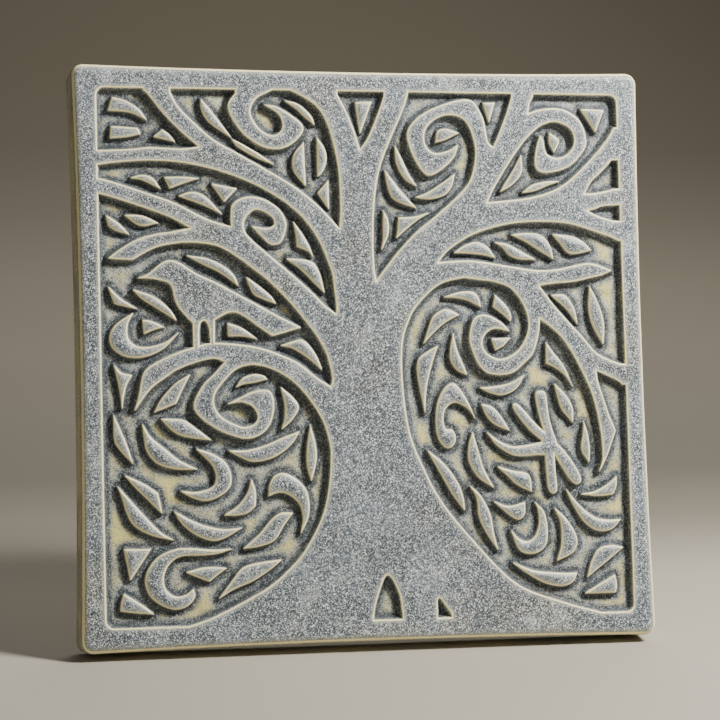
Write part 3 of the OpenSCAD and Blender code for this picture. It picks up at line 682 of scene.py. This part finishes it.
@dataclass
class Piece:
    """One carved piece of the tile.

    Args:
        frame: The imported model.
        nodes: The exact nodes that this piece stands for.
        slot: Its material slot.
        profile: How it falls from its top to the ground.
        swell: How much its top waves, in millimetres.
        crown: How much a narrow piece is lower at its rim than along its middle.
        seed: Seed of its waves. Pieces that meet on the top share it.
        inset: How far the top lies below the border's, so that no two faces lie in one plane.
    """

    frame: dict
    nodes: tuple[str, ...]
    slot: Slot
    profile: Profile = field(default_factory=Profile)
    swell: float = 0.09
    crown: float = 0.0
    seed: int = 3
    inset: float = 0.0

    def outlines(self) -> list[np.ndarray]:
        """Outlines of the piece's top."""
        return [loop for name in self.nodes for loop in cap_loops(self.frame["nodes"][name])]

    def top_y(self) -> float:
        """Where the top of the carving lies along Y, in millimetres, a little under the exact solid's."""
        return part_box(self.nodes[0])[0][1] / MM + 0.1

    def sample(self, loops: list[np.ndarray]) -> tuple[np.ndarray, np.ndarray]:
        """Points of the surface in plan, with each one's signed distance from the outline.

        Args:
            loops: Outlines of the top.

        Returns:
            The points and their distances.
        """
        rings = self.profile.rings()
        base = [resample(loop, RIM_STEP) for loop in loops]
        clouds = []
        for ring in rings:
            if ring == 0.0:
                continue
            at = np.concatenate([loop + normals(loop) * ring for loop in base]
                                + [loop - normals(loop) * ring for loop in base])
            d = signed_distance(at, loops)
            clouds.append(thin(at[np.abs(d - ring) < 0.06 + 0.03 * abs(ring)], 0.2))
        low = np.min([loop.min(0) for loop in loops], axis=0) - self.profile.reach
        high = np.max([loop.max(0) for loop in loops], axis=0) + self.profile.reach
        step = TOP_STEP
        gx, gz = np.meshgrid(np.arange(low[0], high[0], step), np.arange(low[1], high[1], step))
        grid = np.stack([gx.ravel(), gz.ravel()], axis=1)
        grid[:, 0] += (np.round((grid[:, 1] - low[1]) / step) % 2) * step * 0.5
        near = signed_distance(grid, loops)
        grid = grid[near < self.profile.reach]
        near = near[near < self.profile.reach]
        clear = np.min(np.abs(near[:, None] - np.array(rings)[None, :]), axis=1) > 0.12
        rim = np.concatenate(base)
        others = np.concatenate([*clouds, grid[clear]])
        depth = np.concatenate([np.zeros(len(rim)), signed_distance(others, loops)])
        return np.concatenate([rim, others]), depth

    def fall(self, points: np.ndarray, d: np.ndarray) -> np.ndarray:
        """Depth of each point below the highest top.

        Args:
            points: Points in plan.
            d: Their signed distances from the outline.

        Returns:
            One depth per point.
        """
        drop = self.profile.fall(d)
        rim = self.crown * np.clip(1 + d / 2.2, 0, 1) ** 1.5
        return drop + rim + self.waves(points)

    def waves(self, points: np.ndarray) -> np.ndarray:
        """How far the hand-worked top lies under a true plane.

        Args:
            points: Points in plan.

        Returns:
            One depth per point.
        """
        broad = self.swell * (0.5 + 0.5 * wave(points, 19.0, self.seed))
        return self.inset + broad + 0.025 * (1 + wave(points, 4.5, self.seed + 7))

    def build(self) -> bpy.types.Object:
        """Makes the closed piece."""
        loops = self.outlines()
        points, d = self.sample(loops)
        edges, count = [], 0
        for loop in (resample(loop, RIM_STEP) for loop in loops):
            n = len(loop)
            edges += [(count + i, count + (i + 1) % n) for i in range(n)]
            count += n
        flat, _, faces, origin, _, _ = delaunay_2d_cdt([Vector(p) for p in points], edges, [], 0, 1e-4)
        flat = np.array([[v.x, v.y] for v in flat])
        source = np.array([o[0] if o else -1 for o in origin])
        dist = np.where(source >= 0, d[source], 0.0)
        faces = np.array([f for f in faces if len(f) == 3])
        middle = flat[faces].mean(1)
        keep = self.kept(middle, signed_distance(middle, loops))
        faces = faces[keep]
        fall = self.fall(flat, dist)
        top = self.top_y()
        co = np.stack([flat[:, 0], top + fall, flat[:, 1]], axis=1) * MM
        obj = self.close(co, faces, {"crest": self.crest(flat, dist), "fall": fall})
        LOG.info("%s: %d faces", self.nodes[0], len(obj.data.polygons))
        return obj

    def kept(self, middle: np.ndarray, d: np.ndarray) -> np.ndarray:
        """True for the faces that belong to the piece, by their middles.

        Args:
            middle: Middles of the faces, not used here.
            d: Their signed distances from the outline.

        Returns:
            One truth value per face.
        """
        return d < self.profile.reach - 0.05

    def crest(self, points: np.ndarray, d: np.ndarray) -> np.ndarray:
        """Signed distance from the nearest edge of the top, which the glaze, its painted highlight and its
        painted shade follow.
        """
        return d

    def floor_y(self) -> float:
        """Where the piece ends inside the slab, in millimetres."""
        return self.top_y() + self.profile.depth + self.profile.sink + 0.25

    def close(self, co: np.ndarray, faces: np.ndarray, masks: dict[str, np.ndarray]) -> bpy.types.Object:
        """Closes an open surface with a skirt and a flat back, and stores the glaze's masks on it.

        Args:
            co: Places of the points, in metres.
            faces: Triangles of the open surface.
            masks: Values per point, by attribute name.

        Returns:
            The closed piece.
        """
        used = np.unique(faces)
        index = np.full(len(co), -1)
        index[used] = np.arange(len(used))
        mesh = bpy.data.meshes.new(self.nodes[0] + "_carved")
        mesh.from_pydata(co[used].tolist(), [], index[faces].tolist())
        for name, values in masks.items():
            layer = mesh.attributes.new(name, "FLOAT", "POINT")
            layer.data.foreach_set("value", values[used].astype(np.float32))
        bm = bmesh.new()
        bm.from_mesh(mesh)
        bmesh.ops.recalc_face_normals(bm, faces=bm.faces)
        if sum(f.normal.y for f in bm.faces) > 0:
            bmesh.ops.reverse_faces(bm, faces=bm.faces)
        for face in bm.faces:
            face.smooth = True
        self.skirt(bm)
        bmesh.ops.recalc_face_normals(bm, faces=bm.faces)
        bm.to_mesh(mesh)
        bm.free()
        obj = bpy.data.objects.new(self.nodes[0] + "_carved", mesh)
        bpy.context.scene.collection.objects.link(obj)
        return obj

    def skirt(self, bm: bmesh.types.BMesh) -> None:
        """Carries the rim back into the slab and fills the back.

        Args:
            bm: The open surface.
        """
        rim = [e for e in bm.edges if e.is_boundary]
        made = bmesh.ops.extrude_edge_only(bm, edges=rim)["geom"]
        floor = self.floor_y() * MM
        for v in (g for g in made if isinstance(g, bmesh.types.BMVert)):
            v.co.y = floor
        back = [g for g in made if isinstance(g, bmesh.types.BMEdge)]
        bmesh.ops.triangle_fill(bm, edges=back, use_beauty=False, normal=(0, 1, 0))

    def dress(self, obj: bpy.types.Object) -> None:
        """Gives the piece its finish and its place in the frame.

        Args:
            obj: The closed piece.
        """
        obj.data.materials.append(FINISHES[self.slot].build())
        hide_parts(*self.nodes)
        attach(obj, "root")


@dataclass
class Border(Piece):
    """The plain frame round the tree, with its rounded outer edge."""

    round_r: float = 2.1  # radius of the outer edge

    def parts(self) -> tuple[np.ndarray, np.ndarray]:
        """The outer and the inner outline."""
        loops = sorted(cap_loops(self.frame["nodes"][self.nodes[0]]), key=lambda loop: np.ptp(loop[:, 0]))
        return loops[-1], loops[0]

    def outlines(self) -> list[np.ndarray]:
        """Outlines of the border's top."""
        return list(self.parts())

    def kept(self, middle: np.ndarray, d: np.ndarray) -> np.ndarray:
        """True for faces inside the outer outline and not past the inner wall."""
        outer, _ = self.parts()
        return (d < self.profile.reach - 0.05) & (signed_distance(middle, [outer]) < 0)

    def fall(self, points: np.ndarray, d: np.ndarray) -> np.ndarray:
        """Depth below the top: the inner wall on one side, a rounded edge on the other."""
        outer, inner = self.parts()
        to_rim = np.maximum(-signed_distance(points, [outer]), 0.0)
        to_inner = -signed_distance(points, [inner])
        drop = self.profile.fall(to_inner)
        gap = np.clip(self.round_r - to_rim, 0, self.round_r)
        rounded = self.round_r - np.sqrt(np.maximum(self.round_r**2 - gap**2, 0.0))
        return np.maximum(drop, rounded) + self.waves(points)

    def crest(self, points: np.ndarray, d: np.ndarray) -> np.ndarray:
        """Distance from the inner edge, where no branch runs on from it, or from the rounded outer edge."""
        outer, inner = self.parts()
        outer_crest = 0.35 + signed_distance(points, [outer])
        edge = -signed_distance(points, [inner])
        for name in ("tree", "hanging_curl"):
            edge = np.minimum(edge, signed_distance(points, Tree(self.frame, (name,), self.slot).outlines()))
        return np.where(np.abs(outer_crest) < np.abs(edge), outer_crest * 0.7, edge)

    def sample(self, loops: list[np.ndarray]) -> tuple[np.ndarray, np.ndarray]:
        """Points of the border, with closer rings over its rounded outer edge.

        Args:
            loops: Outlines of the top.

        Returns:
            The points and their distances.
        """
        points, d = super().sample(loops)
        outer, _ = self.parts()
        inside = signed_distance(points, [outer]) < 1e-6
        points = points[inside | (np.abs(d) < 1e-9)]
        base = resample(outer, RIM_STEP)
        extra = [points]
        for gap in (0.06, 0.2, 0.45, 1.1, 1.6, self.round_r):
            ring = np.concatenate([base + normals(base) * gap, base - normals(base) * gap])
            depth = signed_distance(ring, [outer])
            extra.append(thin(ring[np.abs(depth + gap) < 0.02 + 0.02 * gap], 0.2))
        points = np.concatenate(extra)
        return points, signed_distance(points, loops)

    def dress(self, obj: bpy.types.Object) -> None:
        """Glaze on the face, clay below the rounded edge."""
        super().dress(obj)
        obj.data.materials.append(SIDE_CLAY.build())
        outer, _ = self.parts()
        flat = [f for f in obj.data.polygons if abs(f.normal.y) < 0.5]
        middles = np.array([[f.center.x / MM, f.center.z / MM] for f in flat])
        near = np.abs(signed_distance(middles, [outer])) < 0.12
        for face, hit in zip(flat, near):
            if hit:
                face.material_index = 1


@dataclass
class Tree(Piece):
    """The tree, or a curl that hangs from the border: carried under the border where they meet."""

    under: float = 2.2  # how far the seams are carried under the border

    def outlines(self) -> list[np.ndarray]:
        """Outlines of the tree, with its seams carried under the border."""
        outer = sorted(cap_loops(self.frame["nodes"]["border_frame"]), key=lambda loop: np.ptp(loop[:, 0]))
        low, high = outer[0].min(0), outer[0].max(0)

        def shift(p: np.ndarray) -> np.ndarray:
            return self.under * ((p > high - 0.02).astype(float) - (p < low + 0.02).astype(float))

        return overlap(super().outlines(), lambda p: np.any(shift(p)), shift)


@dataclass
class Crow(Piece):
    """The crow, whose feet go on into the perch."""

    def outlines(self) -> list[np.ndarray]:
        """Outlines of the crow, with its feet carried into the perch."""
        loops = super().outlines()
        perch = cap_loops(self.frame["nodes"]["tree"])
        down = np.array([0.0, -1.6])
        return overlap(loops, lambda p: abs(signed_distance(p[None, :], perch)[0]) < 0.03, lambda p: down)


@dataclass
class Slab(Piece):
    """The clay body behind the carving, with the glazed ground on its front."""

    back_round: float = 1.2  # radius of the back edge

    def outlines(self) -> list[np.ndarray]:
        """The tile's outline, a hair inside the border's."""
        outer = max(cap_loops(self.frame["nodes"]["border_frame"]), key=lambda loop: np.ptp(loop[:, 0]))
        normal = normals(outer)
        if signed_distance((outer + normal * 0.05)[:1], [outer])[0] > 0:
            normal = -normal
        return [outer + normal * 0.02]

    def walls(self) -> list[np.ndarray]:
        """Outlines of everything that stands on the ground."""
        standing = [node for name, node in self.frame["nodes"].items() if name != "clay_slab"]
        return [loop for node in standing for loop in cap_loops(node)]

    def sample(self, loops: list[np.ndarray]) -> tuple[np.ndarray, np.ndarray]:
        """An even grid inside the outline."""
        base = resample(loops[0], SLAB_RIM_STEP)
        low, high = loops[0].min(0), loops[0].max(0)
        across, up = (np.arange(low[axis], high[axis], GROUND_STEP) for axis in (0, 1))
        gx, gz = np.meshgrid(across, up)
        grid = np.stack([gx.ravel(), gz.ravel()], axis=1)
        grid = grid[signed_distance(grid, loops) < -0.3]
        return np.concatenate([base, grid]), np.zeros(len(base) + len(grid))

    def build(self) -> bpy.types.Object:
        """Makes the slab with its wavy ground."""
        loops = self.outlines()
        base = resample(loops[0], SLAB_RIM_STEP)
        points, _ = self.sample(loops)
        n = len(base)
        edges = [(i, (i + 1) % n) for i in range(n)]
        flat, _, faces, _, _, _ = delaunay_2d_cdt([Vector(p) for p in points], edges, [], 1, 1e-4)
        flat = np.array([[v.x, v.y] for v in flat])
        faces = np.array([f for f in faces if len(f) == 3])
        wall = np.full(len(flat), OPEN_GROUND)
        for loop in self.walls():
            hit = np.all((flat > loop.min(0) - OPEN_GROUND) & (flat < loop.max(0) + OPEN_GROUND), axis=1)
            if hit.any():
                wall[hit] = np.minimum(wall[hit], np.abs(signed_distance(flat[hit], [loop])))
        front = self.front_y()
        inner = np.clip(-signed_distance(flat, loops) / 4 - 0.6, 0, 1)
        bumps = 0.16 * wave(flat, 9.0, 5) + 0.07 * wave(flat, 3.2, 9) - 0.1
        y = front + inner * bumps
        co = np.stack([flat[:, 0], y, flat[:, 1]], axis=1) * MM
        obj = self.close(co, faces, {"crest": wall, "fall": np.full(len(flat), self.profile.depth)})
        LOG.info("clay_slab: %d faces", len(obj.data.polygons))
        return obj

    def front_y(self) -> float:
        """Where the ground lies along Y, in millimetres."""
        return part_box("clay_slab")[0][1] / MM

    def skirt(self, bm: bmesh.types.BMesh) -> None:
        """Carries the sides to the back, rounds the back edge and fills the back.

        Args:
            bm: The open surface.
        """
        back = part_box("clay_slab")[1][1] / MM - 0.02
        r = self.back_round
        rim = [e for e in bm.edges if e.is_boundary]
        steps = [(back - r, 0.0)]
        for angle in (30, 60, 90):
            a = math.radians(angle)
            steps.append((back - r + r * math.sin(a), r - r * math.cos(a)))
        past = 0.0
        for y, inset in steps:
            made = bmesh.ops.extrude_edge_only(bm, edges=rim)["geom"]
            rim = [g for g in made if isinstance(g, bmesh.types.BMEdge)]
            for v in (g for g in made if isinstance(g, bmesh.types.BMVert)):
                v.co.y = y * MM
                middle = Vector((0.0, v.co.y, 0.075))
                inward = (middle - v.co).normalized()
                v.co += inward * (inset - past) * MM
            past = inset
        made = bmesh.ops.triangle_fill(bm, edges=rim, use_beauty=True, normal=(0, 1, 0))["geom"]
        front = min(v.co.y for v in bm.verts)
        for face in bm.faces:
            middle = face.calc_center_median()
            if middle.y > back * MM - 1e-4:
                face.material_index = 2
            elif abs(face.normal.y) < 0.75 and middle.y > front + 0.0004:
                face.material_index = 1
                face.smooth = True
        for face in made:
            if isinstance(face, bmesh.types.BMFace):
                face.material_index = 2

    def dress(self, obj: bpy.types.Object) -> None:
        """Glazed ground, clay sides and back."""
        super().dress(obj)
        obj.data.materials.append(SIDE_CLAY.build())
        obj.data.materials.append(BACK_CLAY.build())


@dataclass
class Tile:
    """The whole tile.

    Args:
        frame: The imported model.
    """

    frame: dict

    def pieces(self) -> list[Piece]:
        """The slab, the border, the tree, the creatures, and one piece for each group of leaves."""
        narrow = Profile(crest=0.4, soften=0.1)
        special = {"clay_slab", "border_frame", "tree", "hanging_curl", "crow"}
        found: list[Piece] = [
            Slab(self.frame, ("clay_slab",), Slot.CLAY),
            Border(self.frame, ("border_frame",), Slot.BORDER),
            Tree(self.frame, ("tree",), Slot.TREE, inset=0.01),
            Tree(self.frame, ("hanging_curl",), Slot.TREE, inset=0.01),
            Crow(self.frame, ("crow",), Slot.CROW, inset=0.02),
        ]
        for i, name in enumerate(sorted(set(self.frame["nodes"]) - special)):
            slot = Slot.CROW if name == "dragonfly" else Slot.LEAF
            crown = 0.5 if name == "dragonfly" else 0.6
            found.append(Piece(self.frame, (name,), slot, narrow, swell=0.15, crown=crown, seed=20 + i))
        return found

    def build(self) -> None:
        """Builds and dresses every piece."""
        for piece in self.pieces():
            piece.dress(piece.build())


# ---- camera, light and backdrop ------------------------------------------------------------------


@dataclass(frozen=True)
class Lamp:
    """A soft square light.

    Args:
        name: What it does.
        place: Where it stands, in metres.
        aim: What it looks at.
        size: Length of its side.
        power: Its power, in watts.
        tint: Its colour.
    """

    name: str
    place: tuple[float, float, float]
    aim: tuple[float, float, float]
    size: float
    power: float
    tint: tuple[float, float, float]


LAMPS = (
    Lamp("key", (0.31, -0.29, 0.38), (0, 0, 0.08), 0.11, 6.7, (1.0, 0.985, 0.96)),
    Lamp("fill", (-0.5, -1.2, 0.5), (0, 0, 0.07), 0.9, 0.9, (0.95, 0.97, 1.0)),
    Lamp("backdrop", (0.25, 0.55, 0.8), (0.1, 0.8, 0.1), 0.6, 5.0, (1.0, 0.97, 0.92)),
)
# Height on the sweep, in metres, and the paper's tone there, with painted light and shade: lightest on the
# floor in front, darkest at the top of the backdrop.
PAPER_TONES_AND_PAINTED_LIGHT = (
    (-0.013, "a8a294"),
    (-0.003, "837d70"),
    (0.011, "706b60"),
    (0.044, "797468"),
    (0.098, "7f796c"),
    (0.175, "797366"),
    (0.255, "6b6559"),
    (0.34, "5f594d"),
    (0.41, "5e584b"),
)
PAPER_LOW, PAPER_HIGH = -0.02, 0.44  # heights between which the paper's tone changes, in metres


@dataclass(frozen=True)
class Studio:
    """Camera, lights, floor and backdrop.

    Args:
        turn: Camera's turn round the tile, its height over the face's normal and its roll, in degrees.
        shift: The tile's middle as the camera sees it, in metres.
        middle: Middle of the tile's face.
        lens: Focal length, in millimetres.
        lean: Slope of the floor against the tile, which is how far the tile leans back on it, in degrees.
        bend: Radius of the bend between the floor and the backdrop, in metres.
        flat: How far the floor runs on behind the tile before it bends.
    """

    turn: tuple[float, float, float] = (13.3, -4.5, 1.6)
    shift: tuple[float, float, float] = (0.0025, 0.0017, -0.6478)
    middle: tuple[float, float, float] = (0.0, -0.0064, 0.075)
    lens: float = 125.0
    lean: float = 11.0
    bend: float = 1.0
    flat: float = 0.6

    def camera(self) -> None:
        """Places the camera."""
        data = bpy.data.cameras.new("camera")
        data.lens = self.lens
        data.sensor_width = 36.0
        obj = bpy.data.objects.new("camera", data)
        bpy.context.scene.collection.objects.link(obj)
        around, over, roll = (math.radians(angle) for angle in self.turn)
        spin = Matrix.Rotation(roll, 3, "Z") @ Matrix.Rotation(over, 3, "X") @ Matrix.Rotation(around, 3, "Y")
        upright = Matrix(((1, 0, 0), (0, 0, 1), (0, -1, 0)))
        rotation = (spin @ upright).transposed()
        place = Vector(self.middle) - rotation @ Vector(self.shift)
        obj.matrix_world = Matrix.Translation(place) @ rotation.to_4x4()
        bpy.context.scene.camera = obj

    def light(self, lamp: Lamp) -> None:
        """Adds one light.

        Args:
            lamp: The light to add.
        """
        data = bpy.data.lights.new(lamp.name, "AREA")
        data.size = lamp.size
        data.energy = lamp.power
        data.color = lamp.tint
        obj = bpy.data.objects.new(lamp.name, data)
        obj.location = lamp.place
        obj.rotation_euler = (Vector(lamp.aim) - Vector(lamp.place)).to_track_quat("-Z", "Y").to_euler()
        bpy.context.scene.collection.objects.link(obj)

    def lights(self) -> None:
        """Adds the lamps and a faint glow from all round."""
        for lamp in LAMPS:
            self.light(lamp)
        world = bpy.data.worlds.new("studio")
        world.use_nodes = True
        back = world.node_tree.nodes["Background"]
        back.inputs["Color"].default_value = (0.62, 0.64, 0.66, 1)
        back.inputs["Strength"].default_value = 0.17
        bpy.context.scene.world = world

    def sweep(self) -> bpy.types.Object:
        """A floor that curves up into a backdrop."""
        bm = bmesh.new()
        bend = self.bend
        profile = [(-1.6, 0.0), (self.flat, 0.0)]
        for angle in range(5, 91, 5):
            a = math.radians(angle)
            profile.append((self.flat + bend * math.sin(a), bend * (1 - math.cos(a))))
        profile.append((self.flat + bend, 2.6))
        rows = [[bm.verts.new((x, y, z)) for x in (-2.4, 2.4)] for y, z in profile]
        for a, b in zip(rows, rows[1:]):
            face = bm.faces.new((a[0], a[1], b[1], b[0]))
            face.smooth = True
        foot = Vector((0.0, 0.0064, 0.0))
        slope = Matrix.Rotation(math.radians(self.lean), 3, "X")
        bmesh.ops.rotate(bm, verts=bm.verts, cent=foot, matrix=slope)
        mesh = bpy.data.meshes.new("sweep")
        bm.to_mesh(mesh)
        bm.free()
        obj = bpy.data.objects.new("sweep", mesh)
        bpy.context.scene.collection.objects.link(obj)
        material = bpy.data.materials.new("paper")
        material.use_nodes = True
        skin = material.node_tree.nodes["Principled BSDF"]
        g = Graph(material.node_tree)
        place = g.add("ShaderNodeTexCoord").outputs["Object"]
        height = g.add("ShaderNodeSeparateXYZ", in_Vector=place).outputs["Z"]
        # The paper's colour changes with height to paint in light and shade: lightest on the floor in front,
        # darkest at the top of the backdrop.
        ramp = g.add("ShaderNodeValToRGB")
        band = ramp.color_ramp.elements
        band.remove(band[1])
        for i, (level, tone) in enumerate(PAPER_TONES_AND_PAINTED_LIGHT):
            stop = band[0] if i == 0 else band.new(1.0)
            stop.position = (level - PAPER_LOW) / (PAPER_HIGH - PAPER_LOW)
            stop.color = colour(tone)
        g.set(ramp.inputs["Fac"], g.remap(height, PAPER_LOW, PAPER_HIGH))
        g.set(skin.inputs["Base Color"], ramp.outputs["Color"])
        skin.inputs["Roughness"].default_value = 0.85
        skin.inputs["Specular IOR Level"].default_value = 0.2
        mesh.materials.append(material)
        return obj

    def build(self) -> None:
        """Sets the whole studio."""
        self.lights()
        self.sweep()


def main() -> None:
    """Builds the scene."""
    logging.basicConfig(level=logging.INFO)
    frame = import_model()
    studio = Studio()
    studio.camera()
    Tile(frame).build()
    studio.build()


if __name__ == "__main__":
    main()
